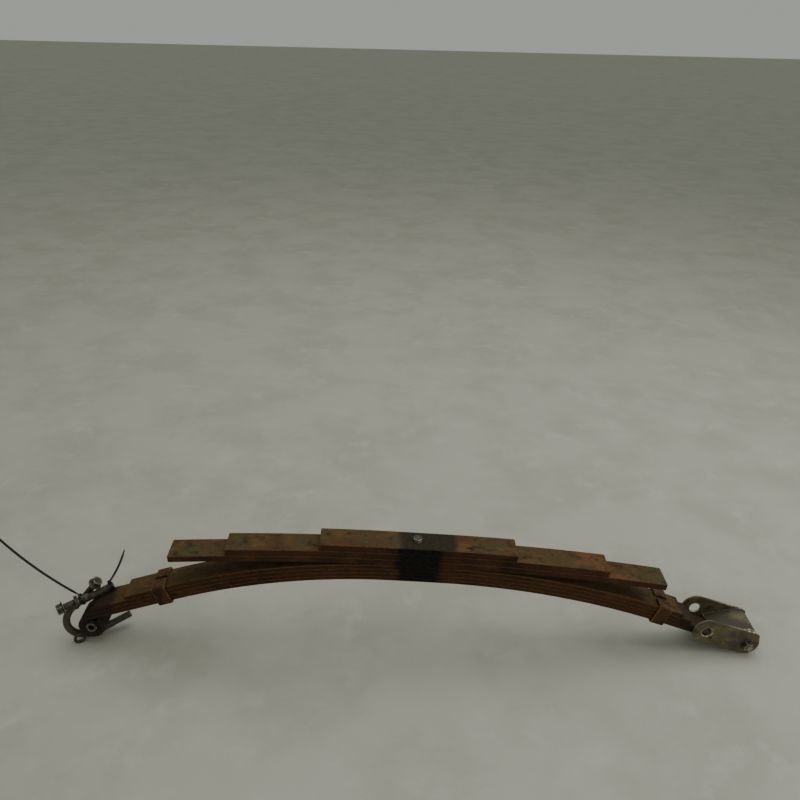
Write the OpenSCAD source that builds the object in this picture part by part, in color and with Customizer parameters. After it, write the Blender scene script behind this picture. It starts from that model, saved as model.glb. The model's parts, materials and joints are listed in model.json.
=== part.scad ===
// Multi-leaf spring of a light truck's rear axle, as taken off the vehicle: four main
// leaves, three helper leaves on top, a rubber bush in each eye, the swinging shackle on
// the rear eye, and a loose U-bolt with two loose bolts tied together at the front eye.
//
// Seat frame: X runs along the spring with the rear (shackle) end at +X, Y across it and
// Z up, with the origin on top of the short helper leaf at the centre bolt. The finished
// part is turned about Y by lie_angle, so that +Z is true up as the spring lies.

/* [Leaves] */
// Width of every leaf
leaf_w = 60; // [50:1:80]
// Thickness of each main leaf
leaf_t = 10; // [8:0.5:12]
// Thickness of each helper leaf
helper_t = 16; // [12:0.5:20]
// Rounding of the long edges of the leaves
leaf_edge = 2.5; // [1:0.5:3.5]
// Half length of the flat seat at the centre bolt
seat_half = 47; // [40:1:60]

/* [Helper leaves] */
// Radius of the lowest helper leaf's underside
helper_arc = 4800; // [4000:50:6000]
// Front half length of the short helper leaf
short_front = 208; // [160:1:260]
// Rear half length of the short helper leaf
short_rear = 214; // [160:1:260]
// Front half length of the middle helper leaf
middle_front = 406; // [340:1:450]
// Rear half length of the middle helper leaf
middle_rear = 418; // [340:1:450]
// Front half length of the long helper leaf
long_front = 527; // [470:1:530]
// Rear half length of the long helper leaf
long_rear = 550; // [480:1:560]

/* [Main leaves, front half] */
// Radius of the main leaf's underside, front half
front_arc = 1340; // [1200:10:1600]
// Angle that the front arc sweeps before the straight end
front_sweep = 20.8; // [18:0.1:22]
// Straight end of the main leaf from the arc to the front eye
front_straight = 204; // [190:1:220]
// Straight end of the second leaf
second_front = 198; // [150:1:200]
// Straight end of the third leaf
third_front = 182; // [120:1:190]
// Straight end of the fourth leaf
fourth_front = 98; // [50:1:110]

/* [Main leaves, rear half] */
// Radius of the main leaf's underside, rear half
rear_arc = 1730; // [1600:10:1900]
// Angle that the rear arc sweeps before the straight end
rear_sweep = 17.5; // [16:0.1:19]
// Straight end of the main leaf from the arc to the rear eye
rear_straight = 198; // [190:1:220]
// Straight end of the second leaf
second_rear = 78; // [60:1:84]
// Straight end of the third leaf
third_rear = 57; // [40:1:80]
// Straight end of the fourth leaf
fourth_rear = 30; // [20:1:60]

/* [Centre bolt] */
// Diameter of the centre bolt
centre_bolt_d = 12; // [8:1:16]
// Clearance of the centre bolt in the leaves, all round
centre_play = 0.3; // [0.1:0.1:0.6]
// Diameter of the bolt's round dowel head
dowel_d = 19; // [17:1:24]
// Height of the dowel head above the short helper leaf
dowel_h = 8; // [5:0.5:12]
// Depth of the spot face that the dowel head sits in
spot_depth = 0.5; // [0.3:0.1:1]
// Clearance of the spot face round the dowel head
spot_play = 1.5; // [1:0.1:2]
// How far the centre bolt stands out of its nut
centre_bolt_out = 3; // [1:0.5:6]

/* [Front eye] */
// Inside diameter of the front eye
front_bore = 38; // [34:1:44]
// Wall of the front bush's outer sleeve
front_sleeve_wall = 2; // [1.5:0.5:3]
// Outside diameter of the front bush's inner sleeve
front_core_d = 24; // [20:1:27]
// Bolt hole through the front bush
front_bolt_hole = 14.5; // [12.5:0.5:16.5]
// How far the front inner sleeve stands out of the eye at each side
front_core_proud = 2; // [1:0.5:5]

/* [Rear eye] */
// Inside diameter of the rear eye
rear_bore = 30; // [28:1:34]
// Wall of the rear bush's outer sleeve
rear_sleeve_wall = 1.5; // [1:0.5:2]
// Outside diameter of the rear bush's inner sleeve
rear_core_d = 20; // [18:1:22]
// How far the rubbers' ends lie inside the eyes
rubber_inset = 1; // [0.5:0.5:3]
// Running clearance between each inner sleeve and its rubber, all round
core_play = 0.05; // [0.02:0.01:0.1]
// Gap that is left where each eye's roll comes back to its leaf, as an angle
roll_gap = 8; // [4:1:15]

/* [Clips] */
// Width of the clips along the spring
clip_w = 31; // [20:1:40]
// Thickness of the clip strap
clip_t = 5; // [3:0.5:6]
// Play between a clip and the leaves
clip_play = 0.3; // [0.2:0.1:0.8]
// Length of each tab that is folded over the top leaf
clip_tab = 26; // [12:1:28]
// Distance of the front clip's centre beyond the front arc
front_clip_at = 16; // [15:1:40]
// Angle of the rear clip's centre on the rear arc
rear_clip_angle = 16.9; // [16:0.1:17.2]
// Diameter of the rivet through each clip and the main leaf
rivet_d = 9; // [6:0.5:12]
// Diameter of the rivet's head
rivet_head_d = 16; // [14:0.5:20]
// Height of the rivet's head
rivet_head_h = 3; // [2:0.5:5]

/* [Shackle] */
// Distance between the shackle plates
shackle_inside = 76; // [64:1:90]
// Thickness of the shackle plates and web
shackle_t = 4; // [3:0.5:6]
// Diameter of the holes at the free end
shackle_hole = 24; // [16:1:25]
// Distance of the free holes from the pivot, measured along the web
hole_along = 88; // [84:1:100]
// Height of the free holes above the pivot, square to the web
hole_rise = 52; // [51:1:60]
// Radius of the plates round the free holes
plate_free_r = 33; // [28:1:36]
// Radius of the plates round the pivot
plate_pivot_r = 28.5; // [24:0.5:31]
// Place of the plates' corner over the web's wrap, behind the pivot
plate_corner_x = 18; // [14:1:20]
// Height of that corner's centre over the pivot
plate_corner_y = 16; // [12:1:18]
// Rounding of that corner
plate_corner_r = 12; // [8:1:13]
// Gap between the rear eye and the web that wraps it
web_gap = 2; // [1.5:0.5:4]
// Length of the flat part of the web, up to the edge that rests on the leaf
web_reach = 71; // [66:1:72]
// How far the web wraps round the eye, past the end of its flat part
web_wrap = 78; // [60:1:85]
// Width of the slot between the web and the front plate, over the eye
web_slot = 9; // [5:1:15]
// Diameter of the pivot bolt
pivot_bolt_d = 14; // [12:1:16]
// How far the pivot bolt stands out of its nut
pivot_bolt_out = 4; // [1:0.5:8]
// Size across the flats of the nuts and bolt heads
hex_af = 21; // [20:0.5:24]
// Height of the nuts and bolt heads
hex_h = 11; // [8:0.5:14]
// Diameter of the washers under them
washer_d = 28; // [26:1:34]
// Thickness of the washers
washer_t = 2.5; // [2:0.5:4]

/* [Loose U-bolt] */
// Diameter of the U-bolt's rod
rod_d = 16; // [12:1:18]
// Distance between the U-bolt's two legs, centre to centre
rod_spacing = 98; // [97:1:110]
// Straight length of each leg
rod_leg = 76; // [74:1:90]
// Heading of the legs, turned from +X towards +Y
rod_heading = 28; // [24:1:32]
// Rise of the legs towards their ends
rod_rise = 15; // [14:1:18]
// Lean of the U-bolt about its legs
rod_lean = 0.5; // [0:0.5:2]
// Where the lower leg passes under the front eye, across the spring
rod_under_eye = 3; // [0:1:5]

/* [Loose bolts] */
// Diameter of the two loose bolts
loose_bolt_d = 14; // [12:1:14]
// How far their flanges stand out past the hex
flange_rim = 4; // [2:0.5:5]
// Thickness of their flanges
flange_t = 3; // [2:0.5:4]
// Length of the front eye's bolt under its head
eye_bolt_len = 85; // [70:1:90]
// Where it crosses behind the U-bolt's upper leg
eye_bolt_at = 26; // [22:1:30]
// Distance from that crossing to the bolt's head
eye_bolt_past = 21; // [20:1:26]
// Turn of the crossing round the leg, from upright towards the back
eye_bolt_side = 66; // [60:1:72]
// Angle between this bolt and the leg
eye_bolt_cross = 42; // [38:1:46]
// Length of the hanger's bolt under its head
hanger_bolt_len = 55; // [50:1:60]
// Where its end lies on the U-bolt's upper leg
hanger_bolt_at = 22; // [18:1:23]
// Turn of that place round the leg, from upright towards the front
hanger_bolt_side = 40; // [35:1:45]
// How far the hanger's bolt tips up from the leg
hanger_bolt_tip = 12; // [12:1:16]
// Place of the thick washer along the hanger's bolt, from its end
thick_washer_at = 30; // [29:1:36]
// Outside diameter of the thick washer
thick_washer_d = 26; // [22:1:27]
// Thickness of the thick washer
thick_washer_t = 7; // [4:1:8]

/* [Loose washer] */
// Outside diameter of the washer that leans on the U-bolt
loose_washer_d = 26; // [24:1:30]
// Hole through it
loose_washer_hole = 14; // [12:1:16]
// Thickness of it
loose_washer_t = 5; // [3:0.5:7]
// Where it leans along the U-bolt's lower leg
loose_washer_at = -40; // [-42:1:-36]

/* [Cable ties] */
// Width of the tie strap
tie_w = 5; // [3.5:0.5:7]
// Thickness of the tie strap
tie_t = 1.6; // [1.2:0.1:2]
// Play of the straps round what they hold
tie_play = 0.3; // [0.2:0.1:0.5]
// Place of the long tie's band along the upper leg
long_tie_at = 5; // [4:1:8]
// Length of the long tie's free tail
long_tail = 240; // [150:5:260]
// Heading of the long tail from its head
long_tail_turn = 203; // [190:1:215]
// Climb of the long tail from its head
long_tail_climb = 54; // [45:1:60]
// Radius that the long tail curves up with
long_tail_bend = 900; // [600:50:1200]
// Place of the short tie's band along the upper leg
short_tie_at = 71; // [60:1:71]
// Length of the short tie's free tail
short_tail = 82; // [50:1:110]
// Heading of the short tail from its head
short_tail_turn = 45; // [30:1:60]
// Radius that the short tail curves up with
short_tail_bend = 160; // [120:10:240]

/* [Hidden] */

// Facets of the long arcs of the leaves, and of everything small and round
arc_fn = 1440;
fn = 64;
// Spare that a cut runs past what it cuts
cut = 1;
// How far a leaf's straight end runs back into its arc, so that the two are one solid
weld = 2;
// Gap between loose pieces that lie against each other
seat_gap = 0.3;
// Steps in the rounding of a leaf's edge
edge_steps = 4;
// Chamfer on the ends of rods and on the dowel head
chamfer = 1.5;
// Size of a tie's locking head along the strap, across it and off it
tie_head = [8, 7.5, 6];
// Place of the long tie's head on the strap's run from the leg to the bolt, as a share of it
head_share = 1 / 3;

// Underside of the main leaf and of the helper pack at the seat
pack_low = -3 * helper_t - 4 * leaf_t;
pack_h = 4 * leaf_t;

// Outer radii of the eyes, and the height of each eye's centre over its leaf's underside
front_eye_r = front_bore / 2 + leaf_t;
rear_eye_r = rear_bore / 2 + leaf_t;
front_eye_up = leaf_t - front_eye_r;
rear_eye_up = rear_eye_r;

// A place on the main pack, as [x, z]: turned by sweep about the centre of the arc, then
// along the straight and up over the main leaf's underside
function on_pack(arc, sweep, along, up) =
    [seat_half + (arc + up) * sin(sweep) + along * cos(sweep),
     pack_low - arc + (arc + up) * cos(sweep) - along * sin(sweep)];

// Eye centres in the seat frame
front_half = on_pack(front_arc, front_sweep, front_straight, front_eye_up);
front_eye = [-front_half.x, front_half.y];
rear_eye = on_pack(rear_arc, rear_sweep, rear_straight, rear_eye_up);

// The shackle swings down until the edge of its web rests on the main leaf. Seen square to
// that leaf, the edge is then a seat gap above the leaf's top, which lies half a bore below
// the pivot.
web_in = rear_eye_r + web_gap;
web_edge = norm([web_reach, web_in]);
shackle_turn = asin((rear_bore / 2 - seat_gap) / web_edge)
    + atan2(web_in, web_reach) - rear_sweep;

// Height of the front eye's centre over the floor, where it lies on the U-bolt's lower leg,
// and the angle that the spring takes up between there and the shackle's round end
rod_r = rod_d / 2;
bend_r = rod_spacing / 2;
leg_z = sin(rod_rise);
lean_z = sin(rod_lean) * cos(rod_rise);
up_z = cos(rod_lean) * cos(rod_rise);
rod_below_eye = (front_eye_r + rod_r + seat_gap)
    / cos(atan(tan(rod_rise) / cos(rod_heading)));
bend_drop = bend_r * (norm([up_z, leg_z]) - up_z);
front_rest = rod_below_eye + bend_drop + rod_r;
eye_run = rear_eye.x - front_eye.x;
eye_rise = rear_eye.y - front_eye.y;
lie_angle = atan2(eye_rise, eye_run)
    + asin((front_rest - plate_pivot_r) / norm([eye_run, eye_rise]));

// The front eye's centre as the spring lies
front_eye_lying = [front_eye.x * cos(lie_angle) + front_eye.y * sin(lie_angle), 0,
                   -front_eye.x * sin(lie_angle) + front_eye.y * cos(lie_angle)];

// Distance from the spring's middle to each shackle plate's outer face
shackle_out = shackle_inside / 2 + shackle_t;

flange_d = hex_af + 2 * flange_rim;

// ---- Frames ----

// The seat frame, turned to lie on the floor
module as_it_lies() rotate([0, lie_angle, 0]) children();

// Drawings made in side view, x along the spring and y up, stood upright. What is extruded
// towards +z there comes to face -Y, the camera's side.
module side() as_it_lies() rotate([90, 0, 0]) children();

// A place on the main pack in side view, with x along the leaf and y square to it
module at_pack(arc, sweep, along)
    translate([seat_half, pack_low - arc]) rotate(-sweep) translate([along, arc]) children();

module front_end() mirror([1, 0, 0]) children();

module at_front_eye() side() translate(front_eye) children();
module at_rear_eye() side() translate(rear_eye) children();
module at_shackle() at_rear_eye() rotate(shackle_turn) children();

// The U-bolt's own frame: the lower leg starts at the origin and runs along +X, the upper
// leg lies rod_spacing above it
module at_u_bolt()
    translate(front_eye_lying + [0, rod_under_eye, -rod_below_eye])
        rotate([rod_lean, -rod_rise, rod_heading]) children();

// ---- Shapes ----

// Section of a leaf: thickness along x from 0 to t, width along y, rounded corners
function leaf_corner(x, y, from) =
    [for (i = [0:edge_steps]) [x, y] + leaf_edge
        * [cos(from + 90 * i / edge_steps), sin(from + 90 * i / edge_steps)]];
function leaf_section(t, from) = concat(
    leaf_corner(from + t - leaf_edge, leaf_w / 2 - leaf_edge, 0),
    leaf_corner(from + leaf_edge, leaf_w / 2 - leaf_edge, 90),
    leaf_corner(from + leaf_edge, -leaf_w / 2 + leaf_edge, 180),
    leaf_corner(from + t - leaf_edge, -leaf_w / 2 + leaf_edge, 270));

// A straight leaf bar along x from 0, its underside at y = 0
module bar(len, t) rotate([90, 0, 90]) linear_extrude(len) polygon(leaf_section(t, 0));

// A leaf bar bent about the origin, from the top round to the right
module bent_bar(inner_r, sweep, t, facets)
    mirror([1, 0, 0]) rotate(90)
        rotate_extrude(angle = sweep, $fn = facets) polygon(leaf_section(t, inner_r));

// The flat seat of a leaf, as long both ways, its underside at low
module seat_bar(low, t) translate([-seat_half, low]) bar(2 * seat_half, t);

// One end of a main leaf in side view: arc and straight end. up is the height of its
// underside over the main leaf's, and its arc shares the main leaf's centre.
module leaf_end(arc, sweep, straight, up) {
    translate([seat_half, pack_low - arc]) bent_bar(arc + up, sweep, leaf_t, arc_fn);
    at_pack(arc, sweep, -weld) translate([0, up]) bar(straight + weld, leaf_t);
}

// The hole for the centre bolt, in side view
module centre_hole()
    rotate([90, 0, 0])
        translate([0, 0, -cut]) cylinder(d = centre_bolt_d + 2 * centre_play,
            h = -pack_low + 2 * cut, $fn = fn);

// A main leaf's blank: the seat and its two ends
module pack_leaf(up, front_len, rear_len) {
    seat_bar(pack_low + up, leaf_t);
    front_end() leaf_end(front_arc, front_sweep, front_len, up);
    leaf_end(rear_arc, rear_sweep, rear_len, up);
}

// A helper leaf: the seat and one long arc each way, with no straight end
module helper_end(up, reach)
    translate([seat_half, pack_low + pack_h - helper_arc])
        bent_bar(helper_arc + up, asin((reach - seat_half) / (helper_arc + up)),
            helper_t, arc_fn);
module helper_leaf(level, front_len, rear_len) {
    up = (3 - level) * helper_t;
    side() difference() {
        union() {
            seat_bar(pack_low + pack_h + up, helper_t);
            front_end() helper_end(up, front_len);
            helper_end(up, rear_len);
        }
        centre_hole();
    }
}

// A tube with its axis along z, centred
module tube(d, hole, len)
    difference() {
        cylinder(d = d, h = len, center = true, $fn = fn);
        cylinder(d = hole, h = len + 2 * cut, center = true, $fn = fn);
    }

// A round rod along z from 0, with its far end chamfered
module chamfered_rod(d, len) {
    cylinder(d = d, h = len - chamfer, $fn = fn);
    translate([0, 0, len - chamfer])
        cylinder(d1 = d, d2 = d - 2 * chamfer, h = chamfer, $fn = fn);
}

// A hexagon along z from 0
module hexagon(af, h) cylinder(r = af / 2 / cos(30), h = h, $fn = 6);

// The outline round a list of circles [x, y, r], given anticlockwise: the circles and the
// polygon through the points where their outer tangents touch them
function tangent_normal(a, b) =
    let (run = [b.x - a.x, b.y - a.y])
    atan2(run.y, run.x) - acos((a[2] - b[2]) / norm(run));
function rim(c, angle) = [c.x + c[2] * cos(angle), c.y + c[2] * sin(angle)];
module tangent_outline(circles) {
    n = len(circles);
    for (c = circles) translate([c.x, c.y]) circle(r = c[2], $fn = fn);
    polygon([for (i = [0:n - 1])
        let (a = circles[i], b = circles[(i + 1) % n], turn = tangent_normal(a, b))
        each [rim(a, turn), rim(b, turn)]]);
}

// ---- Leaves ----

// The eyes' rolls end a roll_gap short of coming back to their leaf
module front_roll() {
    roll = 270 + asin(front_bore / 2 / front_eye_r) - roll_gap;
    at_pack(front_arc, front_sweep, front_straight) translate([0, front_eye_up])
        bent_bar(front_bore / 2, roll, leaf_t, fn * 2);
}
module rear_roll() {
    roll = 270 + asin(rear_bore / 2 / rear_eye_r) - roll_gap;
    at_pack(rear_arc, rear_sweep, rear_straight) translate([0, rear_eye_up])
        mirror([0, 1, 0]) bent_bar(rear_bore / 2, roll, leaf_t, fn * 2);
}

module main_leaf() color("saddlebrown")
    side() difference() {
        union() {
            pack_leaf(0, front_straight, rear_straight);
            front_end() front_roll();
            rear_roll();
        }
        centre_hole();
        front_end() at_front_clip() rivet_hole();
        at_rear_clip() rivet_hole();
    }

module second_leaf() color("sienna")
    side() difference() {
        pack_leaf(leaf_t, second_front, second_rear);
        centre_hole();
    }

module third_leaf() color("brown")
    side() difference() {
        pack_leaf(2 * leaf_t, third_front, third_rear);
        centre_hole();
    }

module fourth_leaf() color("saddlebrown")
    side() difference() {
        pack_leaf(3 * leaf_t, fourth_front, fourth_rear);
        centre_hole();
    }

module helper_leaf_long() color("peru") helper_leaf(3, long_front, long_rear);
module helper_leaf_middle() color("sienna") helper_leaf(2, middle_front, middle_rear);
module helper_leaf_short() color("peru") difference() {
    helper_leaf(1, short_front, short_rear);
    as_it_lies() translate([0, 0, -spot_depth])
        cylinder(d = dowel_d + 2 * spot_play, h = spot_depth + cut, $fn = fn);
}

// ---- Centre bolt ----

module centre_bolt() color("dimgray") as_it_lies() {
    translate([0, 0, -spot_depth]) chamfered_rod(dowel_d, spot_depth + dowel_h);
    translate([0, 0, pack_low - hex_h - centre_bolt_out])
        cylinder(d = centre_bolt_d, h = hex_h + centre_bolt_out - pack_low, $fn = fn);
}

module centre_bolt_nut() color("dimgray")
    as_it_lies() translate([0, 0, pack_low - hex_h]) difference() {
        hexagon(hex_af, hex_h);
        translate([0, 0, -cut]) cylinder(d = centre_bolt_d, h = hex_h + 2 * cut, $fn = fn);
    }

// ---- Clips ----

module at_front_clip() at_pack(front_arc, front_sweep, front_clip_at) children();
module at_rear_clip() at_pack(rear_arc, rear_clip_angle, 0) children();

// The hole for a clip's rivet, square to the main leaf
module rivet_hole()
    rotate([90, 0, 0]) translate([0, 0, -leaf_t - clip_t - clip_play - cut])
        cylinder(d = rivet_d, h = leaf_t * 2 + 2 * clip_t + 2 * cut, $fn = fn);

// A strap round the pack with its ends folded over the top: x across, y up
module clip_outline() {
    in_w = leaf_w + 2 * clip_play;
    in_h = pack_h + 2 * clip_play;
    difference() {
        tangent_outline([for (c = [[1, -1], [1, 1], [-1, 1], [-1, -1]])
            [c.x * in_w / 2, pack_h / 2 + c.y * in_h / 2, clip_t]]);
        translate([-in_w / 2, -clip_play]) square([in_w, in_h]);
        translate([-in_w / 2 + clip_tab, pack_h])
            square([in_w - 2 * clip_tab, clip_t + clip_play + cut]);
    }
}
module clip()
    difference() {
        translate([-clip_w / 2, 0]) rotate([0, 90, 0]) linear_extrude(clip_w)
            clip_outline();
        rotate([90, 0, 0]) cylinder(d = rivet_d, h = clip_t + clip_play + cut, $fn = fn);
    }

module front_clip() color("darkkhaki") side() front_end() at_front_clip() clip();
module rear_clip() color("darkkhaki") side() at_rear_clip() clip();

// A rivet: flush in the main leaf, with a low round head under the strap
module rivet()
    rotate([90, 0, 0]) {
        translate([0, 0, -leaf_t]) cylinder(d = rivet_d,
            h = leaf_t + clip_play + clip_t + cut, $fn = fn);
        translate([0, 0, clip_play + clip_t])
            cylinder(d1 = rivet_head_d, d2 = rivet_d, h = rivet_head_h, $fn = fn);
    }
module clip_rivets() color("gray") side() {
    front_end() at_front_clip() rivet();
    at_rear_clip() rivet();
}

// ---- Bushes ----

module front_bush_outer_sleeve() color("silver")
    at_front_eye() tube(front_bore, front_bore - 2 * front_sleeve_wall, leaf_w);

module front_bush_rubber() color("black")
    at_front_eye() tube(front_bore - 2 * front_sleeve_wall,
        front_core_d + 2 * core_play, leaf_w - 2 * rubber_inset);

module front_bush_inner_sleeve() color("silver")
    at_front_eye() tube(front_core_d, front_bolt_hole, leaf_w + 2 * front_core_proud);

module rear_bush_outer_sleeve() color("silver")
    at_rear_eye() tube(rear_bore, rear_bore - 2 * rear_sleeve_wall, leaf_w);

module rear_bush_rubber() color("black")
    at_rear_eye() tube(rear_bore - 2 * rear_sleeve_wall,
        rear_core_d + 2 * core_play, leaf_w - 2 * rubber_inset);

module rear_bush_inner_sleeve() color("silver")
    at_rear_eye() tube(rear_core_d, pivot_bolt_d, shackle_inside);

// ---- Shackle ----
// Its own frame has the pivot at the origin and the free holes towards -x, with the flat
// part of the web along x.

module shackle_plate()
    linear_extrude(shackle_t) difference() {
        tangent_outline([[0, 0, plate_pivot_r], [plate_corner_x, plate_corner_y, plate_corner_r],
                         [-hole_along, hole_rise, plate_free_r]]);
        circle(d = pivot_bolt_d, $fn = fn);
        translate([-hole_along, hole_rise]) circle(d = shackle_hole, $fn = fn);
    }

module shackle_front_plate() color("darkolivegreen")
    at_shackle() translate([0, 0, shackle_inside / 2]) shackle_plate();

module shackle_rear_plate() color("darkolivegreen")
    at_shackle() translate([0, 0, -shackle_out]) shackle_plate();

// The web wraps over the eye and runs flat to the edge that rests on the leaf
module shackle_web() color("olive")
    at_shackle() difference() {
        union() {
            translate([-web_reach, web_in, -shackle_inside / 2])
                cube([web_reach, shackle_t, shackle_inside]);
            mirror([1, 0, 0]) rotate(90) rotate_extrude(angle = web_wrap, $fn = 2 * fn)
                translate([web_in, -shackle_inside / 2]) square([shackle_t, shackle_inside]);
        }
        translate([-web_in, 0, shackle_inside / 2 - web_slot])
            cube([3 * web_in, 2 * web_in, web_slot + cut]);
    }

module shackle_bolt() color("darkkhaki") at_rear_eye() {
    translate([0, 0, -shackle_out - washer_t])
        cylinder(d = pivot_bolt_d, h = 2 * (shackle_out + washer_t) + hex_h + pivot_bolt_out, $fn = fn);
    translate([0, 0, -shackle_out - washer_t - hex_h]) hexagon(hex_af, hex_h);
}

module shackle_nut() color("darkkhaki")
    at_rear_eye() translate([0, 0, shackle_out + washer_t]) difference() {
        hexagon(hex_af, hex_h);
        translate([0, 0, -cut]) cylinder(d = pivot_bolt_d, h = hex_h + 2 * cut, $fn = fn);
    }

module shackle_washers() color("gray")
    at_rear_eye() for (face = [-1, 1])
        translate([0, 0, face * (shackle_out + washer_t / 2)])
            tube(washer_d, pivot_bolt_d, washer_t);

// ---- Loose hardware on the front eye ----

module u_bolt() color("dimgray") at_u_bolt() {
    for (leg = [0, rod_spacing])
        translate([0, 0, leg]) rotate([0, 90, 0]) chamfered_rod(rod_d, rod_leg);
    translate([0, 0, bend_r]) rotate([90, 0, 0]) rotate(90)
        rotate_extrude(angle = 180, $fn = 2 * fn) translate([bend_r, 0])
            circle(d = rod_d, $fn = fn);
}

// A place along the U-bolt's upper leg, turned round the leg from upright towards -Y
module on_upper_leg(at, side)
    at_u_bolt() translate([at, 0, rod_spacing]) rotate([side, 0, 0]) children();

// A flange bolt along x: the underside of its head at the origin, the shank towards -x
module flange_bolt(len) {
    rotate([0, -90, 0]) chamfered_rod(loose_bolt_d, len);
    rotate([0, 90, 0]) cylinder(d = flange_d, h = flange_t, $fn = fn);
    translate([flange_t, 0, 0]) rotate([0, 90, 0]) hexagon(hex_af, hex_h);
}

// The front eye's bolt crosses behind the leg and touches it there, its head at the back
module eye_bolt() color("darkkhaki")
    on_upper_leg(eye_bolt_at, -eye_bolt_side)
        translate([0, 0, rod_r + seat_gap + loose_bolt_d / 2])
            rotate([0, 0, -eye_bolt_cross]) translate([eye_bolt_past, 0, 0])
                flange_bolt(eye_bolt_len);

// The hanger's bolt lies along the leg on the camera's side, with the end of its shank on
// the leg and its washer on the U-bolt's bend. Its frame starts at that end, with -x
// towards the head.
module at_hanger_bolt()
    on_upper_leg(hanger_bolt_at, hanger_bolt_side)
        translate([0, 0, rod_r + seat_gap + loose_bolt_d / 2 * cos(hanger_bolt_tip)])
            rotate([0, hanger_bolt_tip, 0]) children();

module hanger_bolt() color("darkkhaki")
    at_hanger_bolt() translate([-hanger_bolt_len, 0, 0]) mirror([1, 0, 0])
        flange_bolt(hanger_bolt_len);

module thick_washer() color("gray")
    at_hanger_bolt() translate([-thick_washer_at, 0, 0]) rotate([0, 90, 0])
        tube(thick_washer_d, loose_bolt_d, thick_washer_t);

// The loose washer stands on the floor and leans on the lower bend. Its height in the
// U-bolt's frame is the one that puts its edge on the same floor as the rod.
module loose_washer() color("tan") {
    out = rod_r + loose_washer_t / 2 + seat_gap;
    edge = loose_washer_d / 2 * sqrt(1 - lean_z * lean_z);
    stand = (edge - bend_drop - rod_r + out * lean_z - loose_washer_at * leg_z) / up_z;
    at_u_bolt() translate([loose_washer_at, -out, stand]) rotate([90, 0, 0])
        tube(loose_washer_d, loose_washer_hole, loose_washer_t);
}

// ---- Cable ties ----

// A tie's free tail: a flat strap from the origin along +x that curves up
module tie_tail(len, bend)
    rotate([90, 0, 0]) translate([0, bend]) rotate(-90)
        rotate_extrude(angle = len / bend * 180 / PI, $fn = 8 * fn)
            translate([bend - tie_t / 2, -tie_w / 2]) square([tie_t, tie_w]);

// A band round a list of circles [x, y, r], as wide as the strap, centred on z = 0
module tie_band(circles)
    difference() {
        linear_extrude(tie_w, center = true) tangent_outline(
            [for (c = circles) [c.x, c.y, c[2] + tie_play + tie_t]]);
        linear_extrude(tie_w + 2 * cut, center = true) tangent_outline(
            [for (c = circles) [c.x, c.y, c[2] + tie_play]]);
    }

// A band's locking head, its strap side down on z = 0, with the free tail from its middle
module tie_head_and_tail(turn, climb, tail, bend) {
    translate([-tie_head.x / 2, -tie_head.y / 2, 0]) cube(tie_head);
    translate([0, 0, tie_head.z / 2]) rotate([0, 0, turn]) rotate([0, -climb, 0])
        tie_tail(tail, bend);
}

// The long tie holds the hanger's bolt on the leg, with its head on the strap's back run
module long_cable_tie() color("black")
    on_upper_leg(long_tie_at, hanger_bolt_side) {
        apart = rod_r + seat_gap + loose_bolt_d / 2 * cos(hanger_bolt_tip)
            + (hanger_bolt_at - long_tie_at) * tan(hanger_bolt_tip);
        rotate([90, 0, 90]) tie_band([[0, 0, rod_r], [0, apart, loose_bolt_d / 2]]);
        translate([0, rod_r + tie_play + tie_t / 2, apart * head_share]) rotate([-90, 0, 0])
            tie_head_and_tail(long_tail_turn, long_tail_climb, long_tail, long_tail_bend);
    }

module short_cable_tie() color("black") on_upper_leg(short_tie_at, 0) {
    rotate([90, 0, 90]) tie_band([[0, 0, rod_r], [0, tie_play, rod_r]]);
    translate([0, 0, rod_r + 2 * tie_play + tie_t / 2])
        tie_head_and_tail(short_tail_turn, 0, short_tail, short_tail_bend);
}

main_leaf();
second_leaf();
third_leaf();
fourth_leaf();
helper_leaf_long();
helper_leaf_middle();
helper_leaf_short();
centre_bolt();
centre_bolt_nut();
front_clip();
rear_clip();
clip_rivets();
front_bush_outer_sleeve();
front_bush_rubber();
front_bush_inner_sleeve();
rear_bush_outer_sleeve();
rear_bush_rubber();
rear_bush_inner_sleeve();
shackle_front_plate();
shackle_rear_plate();
shackle_web();
shackle_bolt();
shackle_nut();
shackle_washers();
u_bolt();
eye_bolt();
hanger_bolt();
thick_washer();
loose_washer();
long_cable_tie();
short_cable_tie();
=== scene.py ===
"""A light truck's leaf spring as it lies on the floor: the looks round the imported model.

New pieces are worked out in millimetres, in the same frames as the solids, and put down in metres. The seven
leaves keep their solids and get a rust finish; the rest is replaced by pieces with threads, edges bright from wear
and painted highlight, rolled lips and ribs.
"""

import json
import math

import bmesh
import bpy
import numpy as np
from mathutils import Matrix, Vector
from mathutils.geometry import tessellate_polygon


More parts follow.
